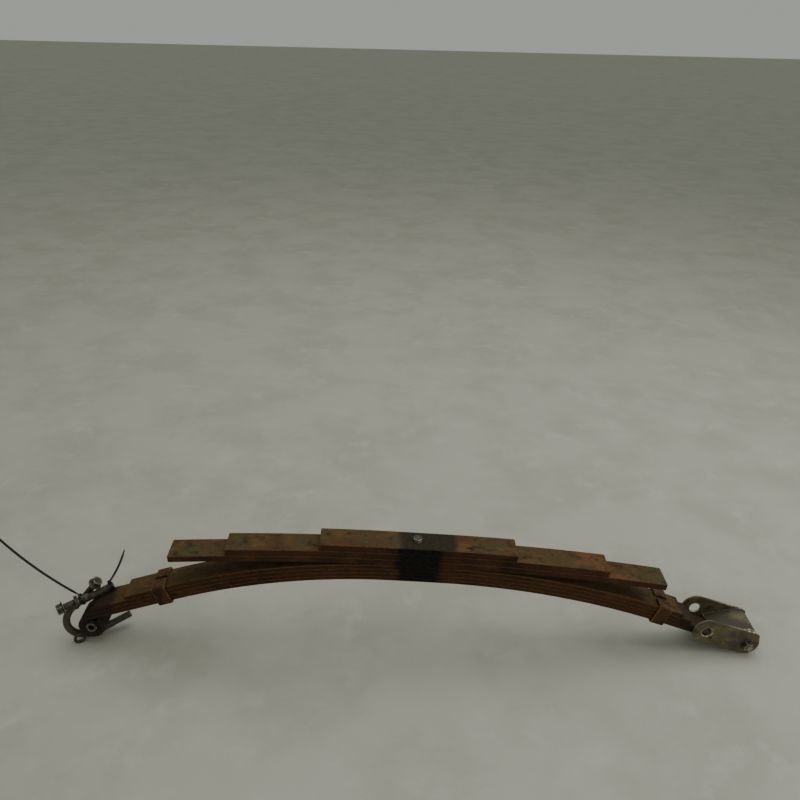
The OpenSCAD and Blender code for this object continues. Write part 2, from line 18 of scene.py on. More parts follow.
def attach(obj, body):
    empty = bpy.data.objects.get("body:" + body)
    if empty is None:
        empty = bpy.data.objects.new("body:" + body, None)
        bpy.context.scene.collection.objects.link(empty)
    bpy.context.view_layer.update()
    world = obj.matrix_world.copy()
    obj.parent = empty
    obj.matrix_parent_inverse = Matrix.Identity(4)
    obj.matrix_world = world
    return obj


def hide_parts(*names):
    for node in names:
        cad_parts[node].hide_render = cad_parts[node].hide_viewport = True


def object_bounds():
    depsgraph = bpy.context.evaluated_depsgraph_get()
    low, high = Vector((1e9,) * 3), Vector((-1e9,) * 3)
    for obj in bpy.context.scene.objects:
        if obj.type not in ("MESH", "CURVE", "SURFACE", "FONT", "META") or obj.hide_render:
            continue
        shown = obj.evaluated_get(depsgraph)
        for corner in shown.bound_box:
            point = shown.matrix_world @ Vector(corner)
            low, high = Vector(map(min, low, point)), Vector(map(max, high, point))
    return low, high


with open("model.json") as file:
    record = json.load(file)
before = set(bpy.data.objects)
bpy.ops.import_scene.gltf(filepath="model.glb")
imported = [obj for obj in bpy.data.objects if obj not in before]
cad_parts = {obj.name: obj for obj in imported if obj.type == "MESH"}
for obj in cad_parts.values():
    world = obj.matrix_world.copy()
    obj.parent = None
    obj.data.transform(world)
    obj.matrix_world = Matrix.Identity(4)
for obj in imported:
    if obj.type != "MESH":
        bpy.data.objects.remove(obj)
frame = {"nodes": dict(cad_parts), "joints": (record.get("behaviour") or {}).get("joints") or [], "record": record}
cad_low, cad_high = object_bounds()
scene = bpy.context.scene

# ---- Camera: heading turned from +Y towards +X, then tipped down, then rolled ----

LENS, SENSOR = 34.605, 36.0
CAMERA_AT = Vector((-0.0744, -1.3356, 1.0141))
HEADING, DOWN, ROLL = (math.radians(a) for a in (1.24, 26.85, 1.44))

ahead = Vector((math.sin(HEADING), math.cos(HEADING), 0))
level = Vector((math.cos(HEADING), -math.sin(HEADING), 0))
upright = Vector((0, 0, 1))
look = math.cos(DOWN) * ahead - math.sin(DOWN) * upright
over = math.sin(DOWN) * ahead + math.cos(DOWN) * upright
right = level * math.cos(ROLL) + over * math.sin(ROLL)
top = over * math.cos(ROLL) - level * math.sin(ROLL)
CAMERA_AXES = Matrix((right, top, -look)).transposed()

camera = bpy.data.objects.new("camera", bpy.data.cameras.new("camera"))
camera.data.lens, camera.data.sensor_width = LENS, SENSOR
camera.data.sensor_fit = "AUTO"
camera.matrix_world = Matrix.Translation(CAMERA_AT) @ CAMERA_AXES.to_4x4()
scene.collection.objects.link(camera)
scene.camera = camera

# ---- Frames, in millimetres ----


def turned(x=0, y=0, z=0, at=(0, 0, 0)):
    """A frame turned about X, then Y, then Z, in degrees, and then moved to `at`."""
    made = np.eye(4)
    for axis, degrees in enumerate((x, y, z)):
        c, s = math.cos(math.radians(degrees)), math.sin(math.radians(degrees))
        one, two = (axis + 1) % 3, (axis + 2) % 3
        step = np.eye(4)
        step[[one, two, one, two], [one, two, two, one]] = c, c, -s, s
        made = step @ made
    made[:3, 3] = at
    return made


mounts = {mount["name"]: mount for mount in frame["record"]["mounts"]}
joints = {joint["name"]: joint for joint in frame["joints"]}
seat_axis = mounts["axle_seat"]["axis"]
LIE = math.degrees(math.atan2(seat_axis[0], seat_axis[2]))
FRONT_EYE = np.array(joints["front_bush_twist"]["pos_m"]) * 1000
REAR_EYE = np.array(joints["shackle_pivot"]["pos_m"]) * 1000

# Sizes in millimetres, angles in degrees. Leaves: a flat seat, then an arc at each end.
LEAF_W, LEAF_T, SEAT_HALF, PACK_LOW = 60, 10, 47, -88
PACK_H = 4 * LEAF_T
FRONT_ARC, FRONT_SWEEP = 1340, 20.8
REAR_ARC, REAR_SWEEP = 1730, 17.5
# Clips and their rivets.
CLIP_AT_FRONT, CLIP_ANGLE_REAR = 16, 16.9
CLIP_W, CLIP_T, CLIP_PLAY, CLIP_TAB = 31, 5, 0.3, 26
RIVET_R, RIVET_HEAD_R, RIVET_DOME = 4.5, 8, 2.6
# Eyes and bushes: radii, walls, and how far the front core stands out of the eye and the
# rubber lies in it.
FRONT_EYE_R, REAR_EYE_R, REAR_BORE_R = 29, 25, 15
FRONT_BORE_R, FRONT_WALL, FRONT_CORE_R, FRONT_HOLE_R, FRONT_PROUD = 19, 2, 12, 7.25, 2
REAR_WALL, REAR_CORE_R, CORE_PLAY, RUBBER_INSET = 1.5, 10, 0.05, 1
# Centre bolt: how far it passes its nut, its thread, and its head in the spot face.
CENTRE_R, CENTRE_OUT, CENTRE_THREAD = 6, 3, 24
DOWEL_R, DOWEL_H, DOWEL_EDGE, SPOT_DEPTH = 9.5, 8, 2, 0.5
# What is left between things that rest on one another.
SEAT_GAP = 0.3
# Shackle, in a frame whose origin is its pivot: each plate is the line round three circles,
# and the web lies flat over WEB_REACH and then turns round the eye by WEB_WRAP.
PLATES_IN, PLATE_T = 38, 4
PLATE_PIVOT_R, PLATE_CORNER, PLATE_FREE_R = 28.5, (18, 16, 12), 33
WEB_IN, WEB_REACH, WEB_WRAP, WEB_SLOT = REAR_EYE_R + 2, 71, 78, 9
HOLE_AT, HOLE_R, PIVOT_R = (-88, 52), 12, 7
# Hexagons, washers and the pivot bolt's end.
HEX_AF, HEX_H, WASHER_T, WASHER_R = 21, 11, 2.5, 14
PIVOT_OUT, PIVOT_THREAD = 4, 26
# U-bolt: two legs and a half circle, and how it is turned as it lies.
ROD_R, BEND_R, LEG, ROD_THREAD = 8, 49, 76, 44
ROD_HEADING, ROD_RISE, ROD_LEAN, ROD_ASIDE = 28, 15, 0.5, 3
# Loose bolts on its upper leg: lengths and threads, the place along the leg and the side of
# it in degrees from upright, and how each crosses, passes or tips.
EYE_BOLT_LONG, EYE_BOLT_THREAD, EYE_BOLT_AT, EYE_BOLT_PAST = 85, 34, 26, 21
EYE_BOLT_SIDE, EYE_BOLT_CROSS = 66, 42
HANGER_BOLT_LONG, HANGER_BOLT_THREAD, HANGER_BOLT_AT = 55, 30, 22
HANGER_BOLT_SIDE, HANGER_BOLT_TIP = 40, 12
# Washers: the thick one by its place on the hanger bolt, the loose one by its place on the
# U-bolt's lower leg, where minus is on the bend.
THICK_WASHER_AT, THICK_WASHER_R, THICK_WASHER_T = 30, 13, 7
LOOSE_WASHER_AT, LOOSE_WASHER_R, LOOSE_HOLE_R, LOOSE_WASHER_T = -40, 13, 7, 5
# Ties: their places along the upper leg, then strap, play, locking head and tail twist.
LONG_TIE_AT, SHORT_TIE_AT = 5, 71
TIE_W, TIE_T, TIE_PLAY, TIE_HEAD, TIE_TWIST = 5, 1.6, 0.3, (8, 7.5, 6), 65

LYING = turned(y=LIE)
SIDE = LYING @ turned(x=90)
AT_FRONT_EYE = turned(at=FRONT_EYE) @ SIDE
AT_REAR_EYE = turned(at=REAR_EYE) @ SIDE
FRONT_END = np.diag([-1.0, 1, 1, 1])

web_edge = math.hypot(WEB_REACH, WEB_IN)
SHACKLE_TURN = (
    math.degrees(math.asin((REAR_BORE_R - SEAT_GAP) / web_edge) + math.atan2(WEB_IN, WEB_REACH))
    - REAR_SWEEP
)
AT_SHACKLE = AT_REAR_EYE @ turned(z=SHACKLE_TURN)

rise, heading = math.radians(ROD_RISE), math.radians(ROD_HEADING)
slope_under_eye = math.atan(math.tan(rise) / math.cos(heading))
rod_below = (FRONT_EYE_R + ROD_R + SEAT_GAP) / math.cos(slope_under_eye)
AT_U_BOLT = turned(ROD_LEAN, -ROD_RISE, ROD_HEADING, FRONT_EYE + (0, ROD_ASIDE, -rod_below))


def at_pack(arc, sweep, along):
    """A place on the main pack in side view, x along the leaf and y square to it."""
    arc_centre = turned(at=(SEAT_HALF, PACK_LOW - arc, 0))
    return arc_centre @ turned(z=-sweep) @ turned(at=(along, arc, 0))


def on_upper_leg(along, side):
    """A place along the U-bolt's upper leg, turned round the leg from upright towards -Y."""
    return AT_U_BOLT @ turned(x=side, at=(along, 0, 2 * BEND_R))


AT_FRONT_CLIP = SIDE @ FRONT_END @ at_pack(FRONT_ARC, FRONT_SWEEP, CLIP_AT_FRONT)
AT_REAR_CLIP = SIDE @ at_pack(REAR_ARC, CLIP_ANGLE_REAR, 0)

# ---- Shapes: grids of closed rings [rings, points round a ring, 3] ----


def skin(rings, closed=False):
    """The grid's points and faces: quads between neighbouring rings. The last ring meets the
    first where closed is true, else a flat face shuts each end."""
    count, around = rings.shape[:2]
    ring = np.arange(count if closed else count - 1)[:, None]
    here, there = ring * around, (ring + 1) % count * around
    step = np.arange(around)
    after = (step + 1) % around
    quads = np.stack([here + step, here + after, there + after, there + step], axis=-1)
    last = (count - 1) * around
    ends = [] if closed else [list(range(around)), list(range(last, count * around))]
    return rings.reshape(-1, 3), quads.reshape(-1, 4).tolist() + ends


def lathed(radius, height, around=72):
    """Circles about Z: point = (radius * cos turn, radius * sin turn, height). The radius is
    one number per ring, or one per point."""
    turn = np.linspace(0, 2 * np.pi, around, endpoint=False)
    radius = np.asarray(radius, float)
    radius = radius[:, None] * np.ones(around) if radius.ndim == 1 else radius
    height = np.asarray(height, float)
    height = height[:, None] * np.ones(around) if height.ndim == 1 else height
    return np.stack([radius * np.cos(turn), radius * np.sin(turn), height], axis=-1)


def strap_ring(thick, width, radius, inset=0.0, steps=5):
    """A rounded rectangle, thick along x and wide along y: four corner centres, each plus
    (radius - inset) times a quarter circle, and three points along each side, the outer two
    a millimetre from its ends. An array of insets gives a ring for each."""
    quarter = np.repeat(np.arange(4), steps)
    turn = quarter * np.pi / 2 + np.tile(np.linspace(0, np.pi / 2, steps), 4)
    out = np.stack([np.cos(turn), np.sin(turn)], axis=-1)
    diagonal = (quarter + 0.5) * np.pi / 2
    side = np.sign(np.stack([np.cos(diagonal), np.sin(diagonal)], axis=-1))
    centre = side * (thick / 2 - radius, width / 2 - radius)
    arcs = centre + (radius - np.asarray(inset, float)[..., None, None]) * out
    arcs = arcs.reshape(*arcs.shape[:-2], 4, steps, 2)
    leave, meet = arcs[..., -1:, :], np.roll(arcs, -1, axis=-3)[..., :1, :]
    hold = np.clip(1 / np.linalg.norm(meet - leave, axis=-1, keepdims=True), 0, 0.25)
    share = np.concatenate([hold, np.full_like(hold, 0.5), 1 - hold], axis=-2)
    ring = np.concatenate([arcs, leave + (meet - leave) * share], axis=-2)
    return ring.reshape(*ring.shape[:-3], -1, 2)


def carried(path, across, ring, closed=False):
    """Rings along a path in a plane: path point + ring x * (across x direction) + ring y *
    across, where across is square to the plane and the direction is the path's own."""
    if closed:
        ahead_of = np.roll(path, -1, axis=0) - np.roll(path, 1, axis=0)
    else:
        ahead_of = np.gradient(path, axis=0)
    ahead_of /= np.linalg.norm(ahead_of, axis=1, keepdims=True)
    beside = np.cross(across, ahead_of)[:, None]
    return path[:, None] + ring[..., :1] * beside + ring[..., 1:] * np.asarray(across, float)


def stations(length, end, step):
    """Distances along a strap, closer over the rounding at both ends, and the inset there:
    end - sqrt(end^2 - (end - distance from the end)^2)."""
    near = end * (1 - np.cos(np.linspace(0, np.pi / 2, 6)))
    middle = np.linspace(end, length - end, max(2, int((length - 2 * end) / step)))[1:-1]
    along = np.concatenate([near, middle, length - near[::-1]])
    left = np.clip(end - np.minimum(along, length - along), 0, end)
    return along, end - np.sqrt(end**2 - left**2)


def filleted(corners, radius, steps=7):
    """An open line with an arc of that radius for each inner corner: the arc touches both
    sides at radius * tan(half the turn) from the corner."""
    corners = np.asarray(corners, float)
    line = [corners[:1]]
    for before, corner, after in zip(corners, corners[1:], corners[2:]):
        first, second = corner - before, after - corner
        first, second = first / np.linalg.norm(first), second / np.linalg.norm(second)
        turn = math.atan2(first[0] * second[1] - first[1] * second[0], first @ second)
        start = corner - first * radius * math.tan(abs(turn) / 2)
        normal = np.array([-first[1], first[0]]) * math.copysign(1, turn)
        bend = np.linspace(0, abs(turn), steps)[:, None]
        line.append(start + normal * radius * (1 - np.cos(bend)) + first * radius * np.sin(bend))
    return np.concatenate(line + [corners[-1:]])


def spaced(line, along):
    """Points at those distances along a line, and the line's whole length."""
    run = np.concatenate([[0], np.cumsum(np.linalg.norm(np.diff(line, axis=0), axis=1))])
    places = [np.interp(along, run, line[:, k]) for k in range(line.shape[1])]
    return np.stack(places, axis=-1), run[-1]


def hull_outline(circles, steps=20):
    """The line round circles [x, y, r], anticlockwise, and its outward normals: an arc on
    each circle between the angles at which its outer tangents touch it."""
    c = np.array(circles, float)
    run = np.roll(c, -1, axis=0) - c
    narrows = (c[:, 2] - np.roll(c[:, 2], -1)) / np.hypot(run[:, 0], run[:, 1])
    leave = np.arctan2(run[:, 1], run[:, 0]) - np.arccos(narrows)
    arrive = np.roll(leave, 1)
    turn = arrive[:, None] + ((leave - arrive) % (2 * np.pi))[:, None] * np.linspace(0, 1, steps)
    out = np.stack([np.cos(turn), np.sin(turn)], axis=-1)
    return (c[:, None, :2] + c[:, None, 2:] * out).reshape(-1, 2), out.reshape(-1, 2)


def hexagon(turn, across_flats):
    """Distance from the axis to a hexagon's side: half the width across its flats over the
    cosine of the angle from the middle of that side."""
    return across_flats / 2 / np.cos(turn % (np.pi / 3) - np.pi / 6)


def thread(along, turn, pitch=2.0, deep=1.15):
    """How deep a thread cuts: a triangle wave of along - pitch * turn, with flat crests."""
    phase = (along / pitch - turn / (2 * np.pi)) % 1
    return deep * np.clip(np.abs(2 * phase - 1) * 1.3 - 0.15, 0, 1)


AROUND = 96
ROUND = np.linspace(0, 2 * np.pi, AROUND, endpoint=False)


def shank(length, radius, threaded):
    """Rings of a rod along Z from 0 to length, its far end threaded and chamfered: the least
    of radius - thread and chamfer radius + distance from the end."""
    plain = np.linspace(0, length - threaded, 12)[:-1]
    along = np.concatenate([plain, np.arange(length - threaded, length, 0.25), [length]])
    left = (length - along)[:, None]
    cut = thread(along[:, None], ROUND) * np.clip((threaded - left) / 3, 0, 1)
    return lathed(np.minimum(radius - cut, radius - 1.6 + left), along, AROUND)


def hex_side(low, high, chamfer_low=False):
    """Rings of a hexagon's side from low to high: the lesser of the hexagon and a 30 degree
    cone from the top face, and from the lower one too on a nut."""
    share = (1 - np.cos(np.linspace(0, np.pi, 21))) / 2
    height = low + (high - low) * share
    cone = HEX_AF * 0.49 + 1.75 * (high - height)
    if chamfer_low:
        cone = np.minimum(cone, HEX_AF * 0.49 + 1.75 * (height - low))
    return lathed(np.minimum(hexagon(ROUND, HEX_AF * 0.995), cone[:, None]), height, AROUND)


def nut(low, high, hole):
    """Rings of a nut: a countersink, the hexagon's side, the other countersink."""
    lead = 1.1
    start = lathed([hole, hole + lead], [low + lead, low], AROUND)
    end = lathed([hole + lead, hole], [high, high - lead], AROUND)
    return np.concatenate([start, hex_side(low, high, True), end])


def dished_top(height):
    """Rings of a bolt head's top: flat, then a shallow dish."""
    dish = height - 0.7
    radius = [HEX_AF * 0.46, HEX_AF * 0.40, HEX_AF * 0.36, 2]
    return lathed(radius, [height, height, dish, dish], AROUND)


def flange_bolt(length, threaded):
    """Rings of a flange bolt, its shank towards -Z from the flange's underside at 0. The
    flange's skirt is the greater of the hexagon and a cone."""
    radius, rim = PIVOT_R, HEX_AF / 2 + 4
    body = shank(length, radius, threaded)[::-1] * (1, 1, -1)
    skirt = np.linspace(1.2, 4.0, 15)
    cone = rim - 1.6 * (skirt - 1.2)
    return np.concatenate([
        body[:-1],
        lathed([radius, rim - 0.5, rim - 0.1, rim, rim], [0, 0, 0.15, 0.5, 1.0], AROUND),
        lathed(np.maximum(hexagon(ROUND, HEX_AF * 0.995), cone[:, None]), skirt, AROUND),
        hex_side(4.2, 14),
        dished_top(14),
    ])


def ring_piece(inner, outer, half, edge=0.6, serration=0.0):
    """Rings of a washer or sleeve: its rounded wall section turned about Z. A serrated one
    has its end faces cut back by a cosine round the axis."""
    section = strap_ring(outer - inner, 2 * half, edge) + ((inner + outer) / 2, 0)
    rings = lathed(section[:, 0], section[:, 1], AROUND)
    teeth = serration * (0.5 + 0.5 * np.cos(32 * ROUND))
    rings[..., 2] -= np.sign(section[:, 1:2]) * teeth * (np.abs(section[:, 1:2]) > half - 0.3)
    return rings


def rubber_ring(inner, outer, half, groove=3.0):
    """Rings of a bush's rubber: each end is grooved by a sine across its width."""
    share = np.linspace(0, 1, 14)
    radius = inner + (outer - inner) * share
    end = half - groove * np.sin(np.pi * share) ** 2
    radius = np.concatenate([radius, radius[::-1]])
    return lathed(radius, np.concatenate([end, -end[::-1]]), AROUND)


def u_bolt_rod():
    """The U-bolt in its own frame: lower leg, half circle, upper leg, both ends threaded
    and chamfered."""
    half_turn = np.pi * BEND_R
    length = 2 * LEG + half_turn
    fine = np.arange(0, ROD_THREAD, 0.25)
    plain = np.linspace(ROD_THREAD, length - ROD_THREAD, 130)
    along = np.concatenate([fine, plain, length - fine[::-1]])
    bend = np.clip((along - LEG) / BEND_R, 0, np.pi)
    reach = np.maximum(LEG - along, 0) + np.maximum(along - LEG - half_turn, 0)
    level, height = reach - BEND_R * np.sin(bend), BEND_R - BEND_R * np.cos(bend)
    path = np.stack([level, np.zeros_like(along), height], axis=-1)
    left = np.minimum(along, length - along)[:, None]
    turn = np.linspace(0, 2 * np.pi, 48, endpoint=False)
    cut = thread(along[:, None], turn) * np.clip((ROD_THREAD - left) / 3, 0, 1)
    radius = np.minimum(ROD_R - cut, ROD_R - 1.6 + left)
    circle = np.stack([np.cos(turn), np.sin(turn)], axis=-1)
    return skin(carried(path, (0, 1, 0), radius[..., None] * circle))


def centre_bolt_body():
    """The centre bolt along Z: a threaded shank from below, then the dowel head with a rubbed round top edge and a
    punch mark."""
    low = PACK_LOW - HEX_H - CENTRE_OUT
    body = shank(-low - SPOT_DEPTH, CENTRE_R, CENTRE_THREAD)[::-1] * (1, 1, -1)
    turn = np.linspace(0, np.pi / 2, 8)
    edge_r = DOWEL_R - DOWEL_EDGE + DOWEL_EDGE * np.cos(turn)
    edge_z = DOWEL_H - DOWEL_EDGE + DOWEL_EDGE * np.sin(turn)
    return skin(np.concatenate([
        body - (0, 0, SPOT_DEPTH),
        lathed([DOWEL_R - 0.3, DOWEL_R], [-SPOT_DEPTH, -SPOT_DEPTH + 0.3], AROUND),
        lathed(edge_r, edge_z, AROUND),
        lathed([4, 2.2, 0.8], [DOWEL_H, DOWEL_H - 0.1, DOWEL_H - 0.8], AROUND),
    ]))


def plate(low, high, circles, holes, edge=1.2):
    """A flat plate between two heights. Each rim is its line's points moved by the edge's
    quarter circles: inwards on the outline, outwards on the holes. Triangles fill its faces."""
    turn = np.linspace(0, np.pi / 2, 6)
    inward = edge * (1 - np.sin(turn))
    rise_by = edge * (1 - np.cos(turn))
    moved = np.concatenate([[edge + 0.8], inward, inward[::-1], [edge + 0.8]])
    height = np.concatenate([[low], low + rise_by, high - rise_by[::-1], [high]])
    lines = [hull_outline(circles)]
    for x, y, radius in holes:
        out = np.stack([np.cos(ROUND), np.sin(ROUND)], axis=-1)
        lines.append(((x, y) + radius * out, -out))
    points, faces, loops, first = [], [], {0: [], -1: []}, 0
    for line, normal in lines:
        flat = line - moved[:, None, None] * normal
        up = np.broadcast_to(height[:, None, None], flat.shape[:2] + (1,))
        rings = np.concatenate([flat, up], axis=-1)
        verts, polys = skin(rings)
        points.append(verts)
        faces += [[v + first for v in poly] for poly in polys[:-2]]
        for end, loop in loops.items():
            loop.append([v + first for v in polys[-2 if end == 0 else -1]])
        first += len(verts)
    points = np.concatenate(points)
    for loop in loops.values():
        corners = sum(loop, [])
        filled = tessellate_polygon([[Vector(points[v]) for v in line] for line in loop])
        faces += [[corners[v] for v in triangle] for triangle in filled]
    return points, faces


def web_line(radius):
    """A line along the web's flat and then round the eye, at that radius from the pivot."""
    wrap = np.radians(90 - np.linspace(0, WEB_WRAP, 60))
    arc = radius * np.stack([np.cos(wrap), np.sin(wrap)], axis=-1)
    return np.concatenate([[[-WEB_REACH, radius]], arc])


def shackle_web():
    """The web: a strap section carried along the flat and round the eye. Its front edge
    steps back by the slot where it passes the eye."""
    line = web_line(WEB_IN + PLATE_T / 2)
    length = spaced(line, [0])[1]
    along, inset = stations(length, 1.5, 1.0)
    path = np.pad(spaced(line, along)[0], ((0, 0), (0, 1)))
    ring = strap_ring(PLATE_T, 2 * PLATES_IN, 1.6, inset)
    step = np.clip((path[:, 0] + WEB_IN + 3) / 6, 0, 1)
    back = WEB_SLOT * step * step * (3 - 2 * step)
    ring[..., 1] -= back[:, None] * (ring[..., 1] > 0)
    return skin(carried(path, (0, 0, 1), ring))


def weld_bead(height, start, end, radius=2.4):
    """A weld along the web's top where it meets a plate: a circle whose size ripples with
    the distance, carried along the flat and round the eye."""
    line = web_line(WEB_IN + PLATE_T)
    along = np.arange(start, end, 0.6)
    path = np.pad(spaced(line, along)[0], ((0, 0), (0, 1)), constant_values=height)
    left = np.minimum(along - start, end - along)
    ripple = radius * (1 + 0.09 * np.abs(np.sin(along * np.pi / 4.2)) + 0.05 * np.sin(along * 0.31))
    size = ripple * np.sqrt(np.clip(left / radius, 0.05, 1))
    turn = np.linspace(0, 2 * np.pi, 20, endpoint=False)
    circle = np.stack([np.cos(turn), np.sin(turn)], axis=-1)
    return skin(carried(path, (0, 0, 1), size[:, None, None] * circle))


def clip_strap(lift):
    """A clip round the pack, x across and y up: its strap section carried along the folded
    line. The two tabs' ends stand up by lift times the share of the tab squared."""
    half = LEAF_W / 2 + CLIP_PLAY + CLIP_T / 2
    low, high = -CLIP_PLAY - CLIP_T / 2, PACK_H + CLIP_PLAY + CLIP_T / 2
    tab = half - CLIP_TAB - CLIP_T / 2
    corners = [(-tab, high), (-half, high), (-half, low), (half, low), (half, high), (tab, high)]
    line = filleted(corners, 4.2, 9)
    length = spaced(line, [0])[1]
    along, inset = stations(length, 1.6, 0.8)
    flat = spaced(line, along)[0]
    share = np.clip((CLIP_TAB - np.minimum(along, length - along)) / CLIP_TAB, 0, 1)
    flat[:, 1] += lift * share**2
    path = np.pad(flat, ((0, 0), (0, 1)))
    rings = carried(path, (0, 0, 1), strap_ring(CLIP_T, CLIP_W, 1.7, inset))
    return skin(rings[..., [2, 1, 0]] * (1, 1, -1))


def rivet_body():
    """A rivet along Z: flush in the leaf, with a low domed head below the strap."""
    turn = np.linspace(0, np.pi / 2, 10)[:-1]
    seat_at = CLIP_PLAY + CLIP_T
    radius = [RIVET_R - 0.1, RIVET_R, RIVET_R, RIVET_HEAD_R]
    shaft = lathed(radius, [-LEAF_T, -LEAF_T + 0.2, seat_at - 0.1, seat_at + 0.05], 48)
    dome = seat_at + 0.4 + RIVET_DOME * np.sin(turn)
    return np.concatenate([shaft, lathed(RIVET_HEAD_R * np.cos(turn), dome, 48)])


def tie_band(circles):
    """A cable tie's band: its strap section carried round the line that encloses circles."""
    line, _ = hull_outline([(x, y, r + TIE_PLAY + TIE_T / 2) for x, y, r in circles], 24)
    path = np.pad(line, ((0, 0), (0, 1)))
    return skin(carried(path, (0, 0, 1), strap_ring(TIE_T, TIE_W, 0.5), True), True)


def tie_tail(length, bend):
    """A tie's tail from the origin along +X, curving up with radius bend: x = bend * sin,
    z = bend * (1 - cos). It twists by a smooth step over its first 30 mm, ribs thin it every
    1.6 mm on one side, and its tip narrows."""
    along = np.concatenate([[0], np.arange(0.4, length - 0.5, 0.4), [length - 0.3, length]])
    turn = along / bend
    path = np.stack([bend * np.sin(turn), np.zeros_like(turn), bend * (1 - np.cos(turn))], axis=-1)
    ring = strap_ring(TIE_T, TIE_W, 0.5, np.zeros_like(along))
    left = np.clip((length - along) / 16, 0, 1)[:, None]
    ribs = 0.3 * ((along / 1.6) % 1)[:, None] * (left > 0.9)
    ring[..., 1] *= 0.45 + 0.55 * left
    ribbed = (ring[..., 0] > 0) & (np.abs(ring[..., 1]) < 1.9)
    ring[..., 0] = ring[..., 0] * (0.6 + 0.4 * left) - ribs * ribbed
    share = np.clip(along / 30, 0, 1)
    twist = np.radians(TIE_TWIST) * (share * share * (3 - 2 * share))[:, None]
    ring = np.stack([ring[..., 0] * np.cos(twist) - ring[..., 1] * np.sin(twist),
                     ring[..., 0] * np.sin(twist) + ring[..., 1] * np.cos(twist)], axis=-1)
    return skin(carried(path, (0, -1, 0), ring))


def tie_head():
    """A tie's locking head: rounded rectangles up its height, drawn in at both ends."""
    up, inset = stations(TIE_HEAD[2], 1.3, 0.8)
    ring = strap_ring(TIE_HEAD[0], TIE_HEAD[1], 1.4, inset)
    up = np.broadcast_to(up[:, None, None], ring.shape[:2] + (1,))
    return skin(np.concatenate([ring, up], axis=-1))


# ---- Putting a piece together ----


def moved_to(place, shape):
    """A shape, its points and faces, carried into a frame."""
    points, faces = shape
    return points @ place[:3, :3].T + place[:3, 3], faces


def piece(name, shapes, finish, body, slot, *stands_for):
    """One object from shapes in mm. Its doubles are merged and its faces turned outward, and
    the attribute edge holds how sharply it bends at each point, in 1/mm: for each face round
    the point, -2 * (way to the face's centre . normal) / (way's length squared)."""
    points, faces, first = [], [], 0
    for verts, polys in shapes:
        points.append(verts)
        faces += [[v + first for v in poly] for poly in polys]
        first += len(verts)
    mesh = bpy.data.meshes.new(name)
    mesh.from_pydata((np.concatenate(points) / 1000).tolist(), [], faces)
    tidy = bmesh.new()
    tidy.from_mesh(mesh)
    bmesh.ops.remove_doubles(tidy, verts=tidy.verts, dist=2e-6)
    bmesh.ops.recalc_face_normals(tidy, faces=tidy.faces)
    tidy.to_mesh(mesh)
    tidy.free()
    mesh.polygons.foreach_set("use_smooth", np.ones(len(mesh.polygons), bool))
    mesh.set_sharp_from_angle(angle=math.radians(32))

    place = np.empty(len(mesh.vertices) * 3)
    mesh.vertices.foreach_get("co", place)
    normal = np.empty_like(place)
    mesh.vertices.foreach_get("normal", normal)
    centre = np.empty(len(mesh.polygons) * 3)
    mesh.polygons.foreach_get("center", centre)
    corners = np.empty(len(mesh.polygons), np.int32)
    mesh.polygons.foreach_get("loop_total", corners)
    corner = np.empty(len(mesh.loops), np.int32)
    mesh.loops.foreach_get("vertex_index", corner)
    way = (np.repeat(centre.reshape(-1, 3), corners, axis=0) - place.reshape(-1, 3)[corner]) * 1000
    bend = -2 * (way * normal.reshape(-1, 3)[corner]).sum(1) / np.maximum((way**2).sum(1), 1e-6)
    count = len(mesh.vertices)
    edge = np.bincount(corner, bend, count) / np.maximum(np.bincount(corner, minlength=count), 1)
    mesh.attributes.new("edge", "FLOAT", "POINT").data.foreach_set("value", edge.astype(np.float32))

    mesh.materials.append(finish)
    made = bpy.data.objects.new(name, mesh)
    scene.collection.objects.link(made)
    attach(made, body)
    if stands_for:
        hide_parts(*stands_for)
    return made


# ---- Finishes ----


def colour(code):
    """The linear colour of an sRGB hex code."""
    srgb = np.array([int(code[k:k + 2], 16) for k in (1, 3, 5)]) / 255
    linear = np.where(srgb <= 0.04045, srgb / 12.92, ((srgb + 0.055) / 1.055) ** 2.4)
    return (*linear.tolist(), 1.0)


def add(tree, kind, sockets=(), **settings):
    """Adds a node with its settings; sockets maps an input to a value or to what feeds it."""
    made = tree.nodes.new("ShaderNode" + kind)
    for name, value in settings.items():
        setattr(made, name, value)
    for name, value in dict(sockets).items():
        if isinstance(value, bpy.types.NodeSocket):
            tree.links.new(value, made.inputs[name])
        else:
            made.inputs[name].default_value = value
    return made


